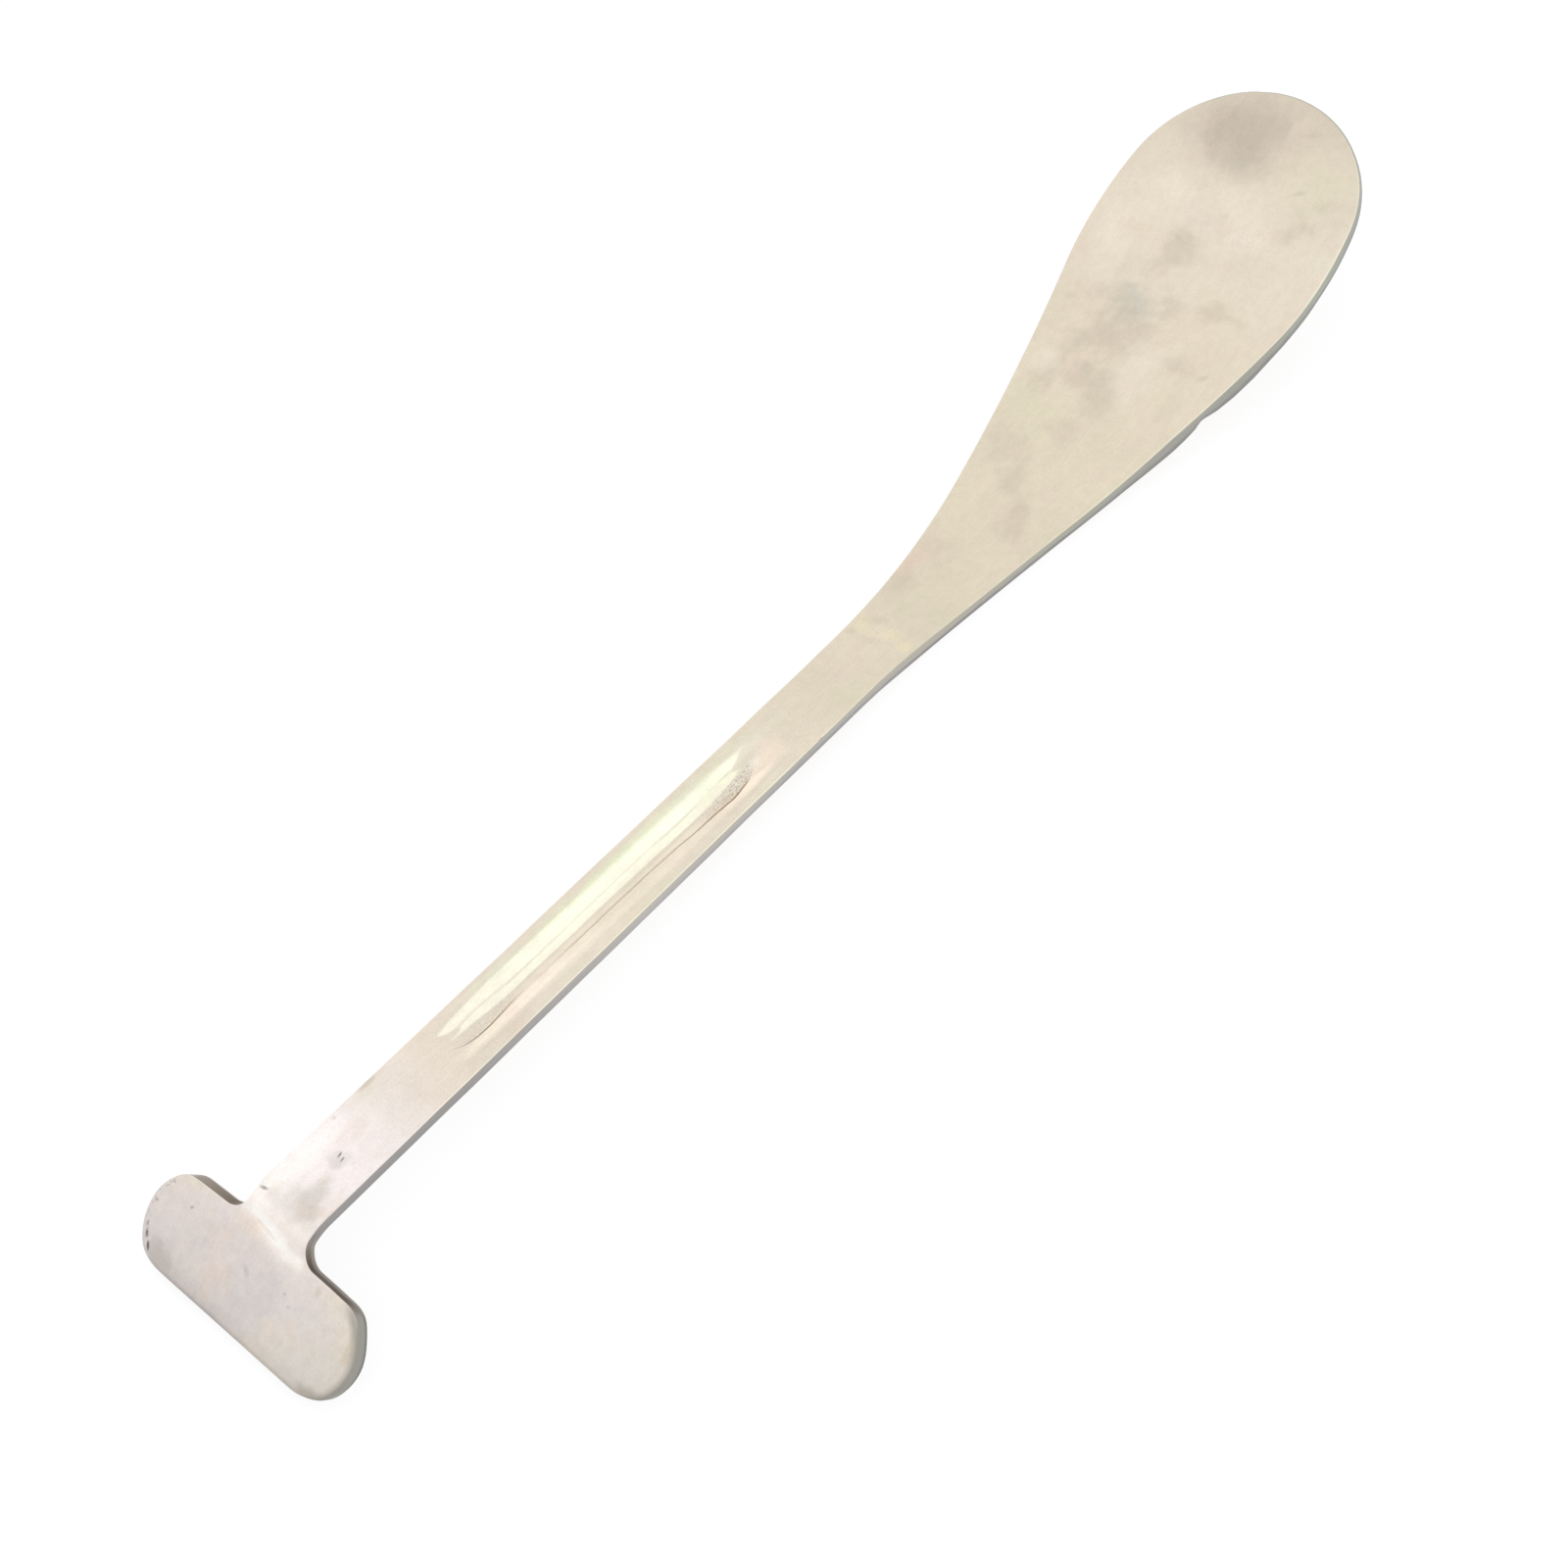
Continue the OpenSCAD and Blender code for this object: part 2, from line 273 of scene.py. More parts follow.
def press(s, y, wall):
    """Depth by which the press moved the upper face, or the lower one with the sheet's thickness as wall."""
    half, centre = GROOVE_W / 2, GROOVE_FLOOR_R - GROOVE_D
    y = y - along_line(OFF_CENTRE, s) * np.clip(1 - np.abs(y) / half, 0, 1)
    slope = math.asin(GROOVE_FLOOR_R / math.hypot(half, centre)) - math.atan(centre / half)
    floor_r = GROOVE_FLOOR_R + wall
    flank = (half - np.abs(y)) * math.tan(slope) + wall * (1 / math.cos(slope) - 1)
    floor = np.sqrt(np.maximum(floor_r ** 2 - y ** 2, 0)) - floor_r + GROOVE_D
    depth = np.where(np.abs(y) < floor_r * math.sin(slope), floor, flank)
    deepest = along_line(FLOOR_DEPTH, s)
    depth = depth - END_SHRINK * np.maximum(GROOVE_D - deepest, 0)
    depth = -soft_max(-depth, -deepest, LIP)
    return soft_max(depth, 0, along_line(SHOULDER_SOFT, s)) * smooth(deepest, 0, 0.25)


def die_lines(s):
    """Where the crease and the ridge lie, as values of y."""
    return along_line(CREASE_Y, s, 0.8), along_line(RIDGE_Y, s)


def die_marks(s, y):
    """Depth of the die's lines in the groove: a crease right of its floor, a ridge left of it."""
    crease_y, ridge_y = die_lines(s)
    trough = smooth(y - crease_y, -0.16, 0.16) * smooth(ridge_y - y, -0.1, 0.9)
    return along_line(CREASE_STEP, s) * trough - along_line(RIDGE_HEIGHT, s) * hump(y, ridge_y, 0.5)


def groove_marks(s, y, through):
    """For the steel: distance from the crease, how dark the line along it is, and how far a point lies on a
    worn foot.
    """
    crease_y, ridge_y = die_lines(s)
    top = through < 0.02
    foot = along_line(FEET, s) * smooth(y - crease_y, 0.0, 0.35) * smooth(ridge_y - 0.8 - y, -0.2, 0.5)
    return np.stack([y - crease_y, along_line(CREASE_DARKENING, s) * top, foot * top], 1)


def unevenness(s, y):
    """Small waves of a face finished by hand, which fade out towards both ends of the sheet."""
    waves = sum(share * np.sin(s / long + y / wide + phase) for long, wide, phase, share in WAVES)
    return WAVE * waves / 2 * smooth(s, PLATE_LOW_S, PLATE_LOW_S + 8) * smooth(-s, -TIP_S, -TIP_S + 14)


def in_spot(s, y, at_s, at_y, long, wide, turn):
    """Places measured in half lengths and half widths from the middle of a turned oval spot."""
    c, d = math.cos(math.radians(turn)), math.sin(math.radians(turn))
    return ((s - at_s) * c + (y - at_y) * d) / long, ((y - at_y) * c - (s - at_s) * d) / wide


def dented(s, y):
    depth = np.zeros(len(s))
    for *spot, deep in DENTS:
        u, v = in_spot(s, y, *spot)
        depth += deep * np.exp(-(u * u + v * v))
    return depth


def edge_wear(s, y):
    """For the outline: inset and drop of the upper arris, rounding of the lower one, and the edge's lean."""
    shoulder = smooth(s, SHOULDER_S - 3.2, SHOULDER_S - 1.6) * smooth(-s, 1.0, 3.0)
    shoulder = shoulder * smooth(np.abs(y), 6, 8.5)
    plate = smooth(-s, -SHOULDER_S + 1.4, -SHOULDER_S + 4.0)
    right_end = plate * smooth(-y, 15, 19)
    left_end = plate * smooth(y, 16, 20)
    tip = smooth(s, TIP_S - 14, TIP_S - 5)
    ground = (y < 0) * sum(inset * hump(s, at, reach) for at, reach, inset in GROUND_BACK)
    top_inset, top_drop = 0.24, 0.22
    for place, inset, drop in ((plate, 0.30, 0.20), (right_end, 0.60, 0.45), (left_end, 0.35, -0.12),
                               (shoulder, -0.12, -0.10), (tip, 0.26, 0.24), (ground, 1.0, 0.6)):
        top_inset = top_inset + inset * place
        top_drop = top_drop + drop * place
    low = EDGE_R - 0.24 * shoulder
    lean = LEAN * shoulder * (y > 0) * (1 - 1.1 * smooth(y, 16.8, 19.6))
    return top_inset, top_drop, low, lean


def end_bulge(s, y):
    """How far the outline of the plate's ends stands out from its arc."""
    angle = np.minimum(np.degrees(np.arctan2(s - END_S, np.abs(y) - END_Y)), 84)
    reach = sum(height * (y * side > 0) * hump(angle, middle, spread)
                for side, middle, spread, height in END_BULGES)
    return reach * smooth(angle, -88, -80) * smooth(np.abs(y), 9, 15) * (s < SHOULDER_S + 1)


def nicked(s, y, through):
    """How far nicks reach into the edge, more at one face than at the other, and where it bulges instead."""
    right = y < 0
    bulge = np.interp(s, *np.array(EDGE_BULGES).T) * smooth(through, 0.2, 0.9)
    handle_nick = 0.14 * hump(s, 115.9, 0.5) * smooth(-through, -0.6, 0.0)
    tip_nick = (y > 0) * 0.10 * hump(s, 277.8, 0.6) * (np.abs(y - 5.3) < 2)
    return right * (handle_nick - bulge) + tip_nick - end_bulge(s, y)


def whole_outline(share):
    """The outline as a loop round the tip and back, its inward directions, and the stations on a side."""
    outline, inward = half_outline()
    outline = outline + TRIM * inward
    mirror = np.array([1, -1])
    inner = share[1:-1, None]
    tip_r = TIP_R - TRIM
    tip_y = outline[-1, 1] * inner
    tip_lift = np.sqrt(tip_r ** 2 - tip_y ** 2)
    tip_row = np.concatenate([TIP_S - TIP_R + tip_lift, tip_y], 1)
    low_row = np.concatenate([np.full((ACROSS - 1, 1), outline[0, 0]), -outline[0, 1] * inner], 1)
    base = np.concatenate([outline, tip_row, outline[::-1] * mirror, low_row])
    inwards = np.concatenate([inward, np.concatenate([-tip_lift, -tip_y], 1) / tip_r, inward[::-1] * mirror,
                              np.tile([1.0, 0.0], (ACROSS - 1, 1))])
    return base, inwards, len(outline)


def edge_rows(base, inwards):
    """Rows of (s, y, depth) down the edge, from the upper face's rim to the lower one's."""
    top_inset, top_drop, low, lean = edge_wear(*base.T)
    rows = []
    for lower in (False, True):
        for k in range(ROUNDING_STEPS + 1):
            a = math.pi / 2 * k / ROUNDING_STEPS
            if lower:
                inset, depth = low * (1 - math.cos(a)), SHEET_T - low * (1 - math.sin(a))
            else:
                inset, depth = top_inset * (1 - math.sin(a)), top_drop * (1 - math.cos(a))
            through = depth / SHEET_T
            inset = inset - lean * (through - 0.4) + nicked(*base.T, through)
            rows.append(np.concatenate([base + inset[:, None] * inwards, depth[:, None]], 1))
    return rows


def sheet_mesh():
    """Points in millimetres in the level handle's frame, faces, and where each point lies on the blank."""
    even = 1 - 2 * np.arange(ACROSS + 1) / ACROSS
    share = (1 - CROWDING) * even + CROWDING * np.sin(math.pi / 2 * even)
    base, inwards, stations = whole_outline(share)
    rows = edge_rows(base, inwards)

    def grid(rim):
        """One broad face's points: rows between the rim's two sides, closed by the rim's own ends."""
        left, right = rim[:stations], rim[stations + ACROSS - 1:2 * stations + ACROSS - 1][::-1]
        points = right[:, None] + (left - right)[:, None] * ((1 + share) / 2)[None, :, None]
        points[-1, 1:-1] = rim[stations:stations + ACROSS - 1]
        points[0, 1:-1] = rim[2 * stations + ACROSS - 1:][::-1]
        return points.reshape(-1, 3)

    def number(i, j):
        return i * (ACROSS + 1) + j

    # the rim's point numbers in the upper grid, in the loop's order
    loop = [number(i, 0) for i in range(stations)] + [number(stations - 1, j) for j in range(1, ACROSS + 1)]
    loop += [number(i, ACROSS) for i in range(stations - 2, -1, -1)]
    loop += [number(0, j) for j in range(ACROSS - 1, 0, -1)]
    loop = np.array(loop)

    count = stations * (ACROSS + 1)
    blank = np.concatenate([grid(rows[0]), grid(rows[-1])] + rows[1:-1])
    between = [2 * count + k * len(loop) + np.arange(len(loop)) for k in range(len(rows) - 2)]
    numbers = [loop] + between + [count + loop]

    i, j = np.meshgrid(np.arange(stations - 1), np.arange(ACROSS), indexing="ij")
    a = number(i, j).ravel()
    top = np.stack([a, a + 1, a + ACROSS + 2, a + ACROSS + 1], 1)
    faces = [top, count + top[:, ::-1]]
    for upper, lower in zip(numbers, numbers[1:]):
        faces.append(np.stack([upper, np.roll(upper, -1), np.roll(lower, -1), lower], 1))

    s, y, depth = blank.T
    through = depth / SHEET_T
    moved = depth + press(s, y, 0) * (1 - through) + press(s, y, SHEET_T) * through
    moved += unevenness(s, y) + (dented(s, y) + die_marks(s, y)) * (1 - through)
    x, z, way = sheet_line(s)
    points = np.stack([x + moved * np.sin(way), y, z - moved * np.cos(way)], 1)
    return points, np.concatenate(faces), np.stack([s, y, through], 1)


def resting_tilt():
    """Angle by which the level handle turns to rest on the plate's lower edge and the blade's belly."""
    x, z, way = (float(v[0]) for v in sheet_line(np.array([PLATE_LOW_S])))
    edge = Vector((x + EDGE_R * math.cos(way) + (SHEET_T - EDGE_R) * math.sin(way),
                   z + EDGE_R * math.sin(way) - (SHEET_T - EDGE_R) * math.cos(way)))
    x, z, way = (float(v[0]) for v in sheet_line(np.array([HANDLE_LEN + NECK_BEND_LEN / 2])))
    centre = Vector((x - BLADE_CURVE_R * math.sin(way), z + BLADE_CURVE_R * math.cos(way)))
    reach = centre - edge
    return math.atan2(reach.y, reach.x) - math.asin((BLADE_CURVE_R + SHEET_T - EDGE_R) / reach.length)


def rgb(red, green, blue):
    """A colour given as it shows on screen, 0 to 255, as the shader wants it."""
    return (*(((v / 255 + 0.055) / 1.055) ** 2.4 for v in (red, green, blue)), 1.0)


# Tones of the steel along the sheet, with painted shade darkening the plate's lower edge and a painted
# highlight lightening the handle by the fold: s and colour
TONES = [
    (-24.4, rgb(150, 144, 140)), (-23.9, rgb(178, 170, 166)), (-23.3, rgb(204, 196, 191)),
    (-21.0, rgb(218, 210, 205)), (-13.0, rgb(225, 216, 212)), (-9.0, rgb(232, 222, 216)),
    (-5.0, rgb(242, 233, 227)), (-1.0, rgb(242, 234, 230)), (6.0, rgb(248, 239, 237)),
    (13.0, rgb(246, 237, 234)), (21.0, rgb(241, 231, 222)), (30.0, rgb(235, 223, 208)),
    (60.0, rgb(235, 225, 206)), (112.0, rgb(234, 224, 204)), (124.0, rgb(226, 215, 195)),
    (136.0, rgb(229, 218, 198)), (150.0, rgb(226, 216, 194)), (175.0, rgb(229, 218, 196)),
    (200.0, rgb(230, 219, 197)), (225.0, rgb(232, 220, 200)), (250.0, rgb(234, 223, 205)),
    (268.0, rgb(228, 216, 197)), (281.0, rgb(216, 205, 187)),
]

# Colours that several stains share
GREY = rgb(200, 190, 173)
DUSK = rgb(186, 177, 160)
BLUISH = rgb(204, 201, 188)
TAN = rgb(213, 201, 182)
CREAM = rgb(238, 226, 194)
PINK = rgb(236, 212, 194)
LIGHT = rgb(240, 229, 211)
DARK = rgb(105, 98, 92)

# Soft stains of the upper face, and among them painted highlights and reflections: s, y, half length, half
# width, turn in degrees, raggedness, strength, colour
STAINS_AND_PAINTED_LIGHT = [
    # stains near the tip
    (268.0, 6.0, 8.2, 10.6, 10, 0.12, 0.78, rgb(202, 189, 176)),
    (267.5, 6.6, 5.2, 7.2, -12, 0.15, 0.22, rgb(188, 175, 163)),
    (274.0, 3.0, 5.0, 6.0, 30, 0.15, 0.35, GREY),
    (262.4, 2.0, 3.4, 4.6, 20, 0.2, 0.25, DUSK),
    (252.0, 0.0, 7.0, 9.0, 0, 0.5, 0.45, LIGHT),
    # the cloud with the bluish spot
    (228.8, 6.0, 4.6, 4.2, 30, 0.25, 0.75, BLUISH),
    (221.0, 5.5, 8.0, 8.0, 20, 0.45, 0.75, TAN),
    (229.0, 13.5, 6.0, 4.5, 0, 0.5, 0.55, TAN),
    (230.0, -1.6, 3.0, 3.0, 0, 0.5, 0.5, TAN),
    (241.0, 5.0, 7.0, 4.6, -35, 0.5, 0.6, TAN),
    (236.0, 16.5, 8.0, 3.5, 20, 0.4, 0.7, LIGHT),
    (252.0, 14.0, 8.0, 5.0, 0, 0.5, 0.5, LIGHT),
    # smudges on the blade's right half
    (257.5, -13.5, 3.4, 1.6, 60, 0.6, 0.55, TAN),
    (253.4, -14.2, 3.0, 2.2, 0, 0.6, 0.5, TAN),
    (260.5, -17.4, 3.0, 2.2, 20, 0.6, 0.5, TAN),
    (233.0, -10.6, 2.6, 5.0, -10, 0.5, 0.7, TAN),
    (232.6, -14.8, 1.8, 2.6, 0, 0.5, 0.5, TAN),
    (220.2, -10.3, 2.4, 3.2, 0, 0.5, 0.5, TAN),
    (211.0, -14.0, 3.0, 3.0, 0, 0.6, 0.25, TAN),
    (216.0, -3.0, 5.5, 4.5, 0, 0.5, 0.75, LIGHT),
    # clouds towards the neck
    (207.5, 12.6, 3.0, 3.4, 0, 0.5, 0.6, TAN),
    (211.0, 5.0, 3.6, 4.0, 10, 0.5, 0.6, TAN),
    (206.5, -0.6, 5.0, 2.6, 20, 0.5, 0.55, TAN),
    (198.0, 1.0, 4.0, 3.0, 0, 0.5, 0.5, TAN),
    (190.5, 8.6, 5.0, 3.6, 0, 0.5, 0.5, TAN),
    (184.0, 3.4, 4.0, 2.6, 20, 0.5, 0.6, TAN),
    (177.5, -3.0, 4.5, 3.0, 10, 0.5, 0.65, TAN),
    (210.5, 15.0, 2.5, 2.5, 0, 0.5, 0.5, LIGHT),
    (163.5, 6.0, 4.0, 3.0, 0, 0.5, 0.45, TAN),
    (152.0, 6.2, 3.4, 2.4, 0, 0.5, 0.6, TAN),
    (158.7, 7.6, 2.6, 2.2, 0, 0.5, 0.5, PINK),
    # the crossing mark at the neck
    (141.2, 4.9, 1.8, 1.6, 20, 0.45, 0.6, CREAM),
    (141.9, -0.3, 1.1, 1.8, 10, 0.45, 0.65, CREAM),
    (141.0, -5.2, 1.0, 1.7, 35, 0.35, 0.75, CREAM),
    (143.7, 3.2, 1.0, 1.8, 30, 0.6, 0.4, GREY),
    # the groove: a pink painted reflection, the pale ring round its far end
    (106.5, -1.6, 2.6, 1.8, 20, 0.15, 0.9, rgb(252, 236, 218)),
    (109.6, -0.6, 2.2, 2.4, 0, 0.2, 0.75, rgb(250, 232, 214)),
    # its left wall made brighter by a painted highlight, and a greenish painted reflection on its left
    # shoulder
    (79.0, 2.9, 30.0, 1.5, 0, 0.05, 0.8, rgb(250, 246, 226)),
    (78.0, 4.7, 26.0, 0.8, 0, 0.1, 0.8, rgb(236, 238, 208)),
    (46.0, 5.2, 6.0, 0.7, 0, 0.1, 0.6, rgb(236, 236, 208)),
    # a pink painted reflection on its right wall, its grey right shoulder, and a painted highlight at the
    # tip of its far foot
    (47.0, -2.5, 14.0, 1.25, 0, 0.05, 0.95, rgb(254, 242, 224)),
    (101.0, -2.7, 7.5, 1.25, 0, 0.05, 0.9, rgb(252, 236, 216)),
    (42.0, -4.3, 7.0, 0.5, 0, 0.2, 0.25, GREY),
    (92.0, -4.6, 12.0, 0.5, 0, 0.2, 0.25, GREY),
    (104.9, -0.2, 0.9, 0.6, 0, 0.5, 0.6, rgb(255, 252, 242)),
    # painted highlights: the line of light below the fold, and the paler left side of the handle beside it
    (-6.8, 0.4, 1.9, 9.0, -12, 0.2, 0.85, rgb(253, 243, 235)),
    (-6.9, 0.2, 1.1, 7.6, -12, 0.2, 1.0, rgb(255, 252, 247)),
    (-8.0, -6.0, 1.2, 2.2, 0, 0.3, 0.9, rgb(255, 250, 244)),
    (4.0, 5.0, 9.0, 2.6, 0, 0.2, 0.8, rgb(255, 251, 248)),
    (-3.6, 5.0, 2.2, 3.4, 0, 0.3, 0.7, rgb(253, 246, 241)),
    # beside the fold
    (2.3, -2.2, 2.6, 1.6, 25, 0.5, 0.75, rgb(214, 206, 199)),
    (-1.4, 0.2, 2.4, 2.0, 0, 0.4, 0.6, rgb(219, 211, 205)),
    (-1.4, -3.8, 2.2, 2.8, 0, 0.35, 0.85, rgb(208, 200, 192)),
    (-3.2, -0.5, 1.2, 3.4, 0, 0.4, 0.5, rgb(222, 214, 208)),
    (-2.2, 3.5, 1.2, 1.2, 0, 0.5, 0.5, rgb(218, 210, 202)),
    (8.0, -0.4, 1.7, 1.7, 0, 0.5, 0.6, rgb(216, 208, 203)),
    # the end plate
    (-20.8, 16.8, 1.6, 2.6, 0, 0.8, 0.2, rgb(200, 191, 186)),
    (-22.9, -18.9, 1.1, 2.2, 15, 0.4, 0.85, rgb(168, 161, 152)),
    (-22.6, 17.6, 1.2, 2.2, -20, 1.0, 0.4, rgb(180, 174, 168)),
    (-17.0, -3.0, 4.0, 5.0, 0, 0.8, 0.4, rgb(206, 200, 200)),
    (-14.0, 8.0, 3.0, 5.0, 20, 0.8, 0.4, rgb(232, 222, 216)),
    (-13.1, -22.4, 2.6, 1.0, 0, 0.4, 0.6, rgb(196, 178, 160)),
    (-8.1, 3.7, 1.5, 2.0, 0, 0.6, 0.45, rgb(240, 222, 205)),
    (-9.8, 9.8, 1.8, 2.6, 0, 0.6, 0.35, rgb(226, 216, 218)),
    (-8.4, 17.5, 1.0, 3.0, 0, 0.5, 0.5, rgb(232, 224, 208)),
]


def colour_with_stains_and_painted_light(s, y, through):
    """The steel's colour at each point: its tone along the sheet, and on the upper face the soft stains with
    the painted highlights and reflections among them.
    """
    where = [at for at, _ in TONES]
    colour = np.stack([np.interp(s, where, [tone[k] for _, tone in TONES]) for k in range(4)], 1)
    ragged = np.array([noise.fractal(Vector((0.16 * a, 0.16 * b, 5.3)), 0.6, 2.0, 4) for a, b in zip(s, y)])
    for *spot, raggedness, strength, tone in STAINS_AND_PAINTED_LIGHT:
        u, v = in_spot(s, y, *spot)
        share = strength * smooth(-np.hypot(u, v) - raggedness * 1.6 * ragged, -1.5, -0.3) * (through < 0.5)
        colour += share[:, None] * (np.array(tone) - colour)
    return colour


level_points, sheet_faces, on_blank = sheet_mesh()
TILT = resting_tilt()
LAY = Matrix.Rotation(TILT, 3, "Y")
rest_points = level_points @ np.array(LAY).T
shift = np.array([-(rest_points[:, 0].min() + rest_points[:, 0].max()) / 2, 0, -rest_points[:, 2].min()])


def laid(x, y, z):
    """A point in millimetres beside the level handle, as metres in the part's frame."""
    return (LAY @ Vector((x, y, z)) + Vector(shift)) * MM


def keep_on_points(mesh, name, kind, field, values):
    """Stores one value for each point, which the material reads by its name."""
    attribute = mesh.attributes.new(name, kind, "POINT")
    attribute.data.foreach_set(field, values.astype(np.float32).ravel())


mesh = bpy.data.meshes.new("spatula_sheet")
mesh.from_pydata(((rest_points + shift) * MM).tolist(), [], sheet_faces.tolist())
mesh.shade_smooth()
keep_on_points(mesh, "blank", "FLOAT_VECTOR", "vector", on_blank)
# the steel's colour: stains together with painted highlights, reflections and shade
keep_on_points(mesh, "stain_and_painted_light", "FLOAT_COLOR", "color", colour_with_stains_and_painted_light(*on_blank.T))
keep_on_points(mesh, "groove", "FLOAT_VECTOR", "vector", groove_marks(*on_blank.T))
spatula = bpy.data.objects.new("spatula_sheet", mesh)
bpy.context.scene.collection.objects.link(spatula)


class Nodes:
    """Short calls for the nodes that the materials use."""

    def __init__(self, tree):
        self.tree = tree
        tree.nodes.clear()

    def put(self, socket, value):
        if isinstance(value, bpy.types.NodeSocket):
            self.tree.links.new(value, socket)
        else:
            socket.default_value = value

    def add(self, kind, inputs=(), out=0, **settings):
        node = self.tree.nodes.new(kind)
        for name, value in settings.items():
            setattr(node, name, value)
        for name, value in dict(inputs).items():
            self.put(node.inputs[name], value)
        return node.outputs[out]

    def math(self, operation, a, b=0.0):
        return self.add("ShaderNodeMath", {0: a, 1: b}, operation=operation)

    def vector(self, operation, a, b=(0, 0, 0), out=0):
        return self.add("ShaderNodeVectorMath", {0: a, 1: b}, out=out, operation=operation)

    def split(self, vector):
        """The three parts of a vector."""
        node = self.tree.nodes.new("ShaderNodeSeparateXYZ")
        self.put(node.inputs[0], vector)
        return node.outputs

    def noise(self, where, scale, detail=3.0, rough=0.5, twist=0.0):
        return self.add("ShaderNodeTexNoise", {"Vector": where, "Scale": scale, "Detail": detail,
                                               "Roughness": rough, "Distortion": twist})

    def spread(self, value, low, high, to_low=0.0, to_high=1.0):
        return self.add("ShaderNodeMapRange", {0: value, 1: low, 2: high, 3: to_low, 4: to_high},
                        interpolation_type="SMOOTHSTEP")

    def mix(self, share, a, b):
        node = self.tree.nodes.new("ShaderNodeMix")
        node.data_type = "RGBA"
        for socket, value in zip((node.inputs[0], node.inputs[6], node.inputs[7]), (share, a, b)):
            self.put(socket, value)
        return node.outputs[2]

    def ramp(self, value, stops):
        """A colour that passes through the stops, each a value and a colour, in order."""
        low, high = stops[0][0], stops[-1][0]
        node = self.tree.nodes.new("ShaderNodeValToRGB")
        elements = node.color_ramp.elements
        elements.remove(elements[1])
        for k, (at, colour) in enumerate(stops):
            element = elements[0] if k == 0 else elements.new((at - low) / (high - low))
            element.position, element.color = (at - low) / (high - low), colour
        self.put(node.inputs[0], self.add("ShaderNodeMapRange", {0: value, 1: low, 2: high, 3: 0.0, 4: 1.0}))
        return node.outputs[0]

    def brighten(self, colour, factor):
        node = self.tree.nodes.new("ShaderNodeVectorMath")
        node.operation = "SCALE"
        self.put(node.inputs[0], colour)
        self.put(node.inputs["Scale"], factor)
        return node.outputs[0]

    def surface(self, kind, shader):
        """Ends a material or world with its shader."""
        output = self.tree.nodes.new(kind)
        self.put(output.inputs["Surface"], shader)


# Small marks of the upper face: s, y, half length, half width, turn in degrees, raggedness, strength, colour
MARKS = [
    # the cloud with the bluish spot
    (244.6, 5.5, 1.4, 0.6, 60, 0.4, 0.3, GREY),
    # smudges on the blade's right half
    (261.3, -11.3, 0.5, 1.3, 30, 0.4, 0.4, GREY),
    (273.0, -8.0, 0.6, 2.0, 20, 0.4, 0.6, TAN),
    (219.7, -15.5, 0.5, 1.0, 45, 0.6, 0.4, GREY),
    # the crossing mark at the neck
    (140.2, 2.6, 0.8, 2.2, 10, 0.35, 0.5, CREAM),
    (139.0, 1.4, 0.9, 2.4, 20, 0.4, 0.3, TAN),
    (138.7, 5.5, 0.8, 0.9, 0, 0.4, 0.3, GREY),
    # beside the fold
    (8.5, 0.0, 0.52, 0.15, 12, 0.1, 0.9, DARK),
    (8.2, -0.95, 0.50, 0.20, 8, 0.25, 0.75, DARK),
    (-2.5, 5.5, 0.30, 0.8, 12, 0.2, 0.7, rgb(130, 124, 118)),
    (4.1, -1.2, 2.4, 0.10, -6, 0.0, 0.6, LIGHT),
    (-7.2, 0.8, 0.22, 3.0, -10, 1.0, 0.35, rgb(240, 210, 190)),
    (12.4, 5.7, 0.35, 0.35, 0, 0.3, 0.35, GREY),
    (20.0, 6.2, 2.4, 0.5, 0, 0.4, 0.5, GREY),
    # the end plate
    (-12.4, 15.8, 0.30, 0.42, 35, 0.2, 0.7, rgb(165, 156, 150)),
    (-15.2, 22.7, 0.30, 0.45, 0, 0.3, 0.6, rgb(160, 152, 146)),
    (-19.2, 22.3, 0.45, 0.22, 10, 0.4, 0.6, rgb(130, 126, 120)),
    (-20.6, 21.6, 0.65, 0.26, 25, 0.4, 0.8, rgb(100, 96, 90)),
    (-22.0, 20.3, 0.75, 0.28, 35, 0.4, 0.9, rgb(92, 88, 83)),
    (-14.6, 1.0, 1.0, 0.5, 50, 0.4, 0.4, rgb(190, 182, 176)),
    (-13.2, -7.3, 0.35, 0.35, 0, 0.3, 0.5, rgb(180, 172, 166)),
    (-14.5, -8.9, 0.30, 0.30, 0, 0.3, 0.4, rgb(180, 172, 166)),
    (-9.5, -12.6, 1.0, 0.7, 0, 0.5, 0.5, rgb(203, 193, 178)),
]

# Tones of the ground edge, next to the upper face and below it, darkened by painted shade most on the
# plate's shoulders: s and colour
UPPER_EDGE = [
    (-25.5, rgb(176, 166, 152)), (-14.0, rgb(158, 154, 144)), (-10.0, rgb(128, 116, 105)),
    (-7.7, rgb(92, 79, 70)), (-5.5, rgb(140, 130, 124)), (-1.0, rgb(158, 156, 154)),
    (30.0, rgb(163, 160, 157)), (70.0, rgb(190, 186, 180)), (120.0, rgb(186, 184, 176)),
    (145.0, rgb(190, 184, 172)), (180.0, rgb(180, 180, 168)), (200.0, rgb(172, 170, 162)),
    (225.0, rgb(174, 173, 164)), (245.0, rgb(180, 181, 170)), (281.0, rgb(176, 178, 168)),
]
LOWER_EDGE = [
    (-25.5, rgb(140, 146, 140)), (-14.0, rgb(150, 154, 148)), (-7.7, rgb(146, 138, 131)),
    (-5.0, rgb(160, 154, 146)), (-1.0, rgb(154, 152, 151)), (30.0, rgb(158, 156, 154)),
    (70.0, rgb(184, 181, 179)), (120.0, rgb(166, 163, 164)), (145.0, rgb(152, 148, 152)),
    (180.0, rgb(152, 152, 151)), (281.0, rgb(156, 156, 154)),
]
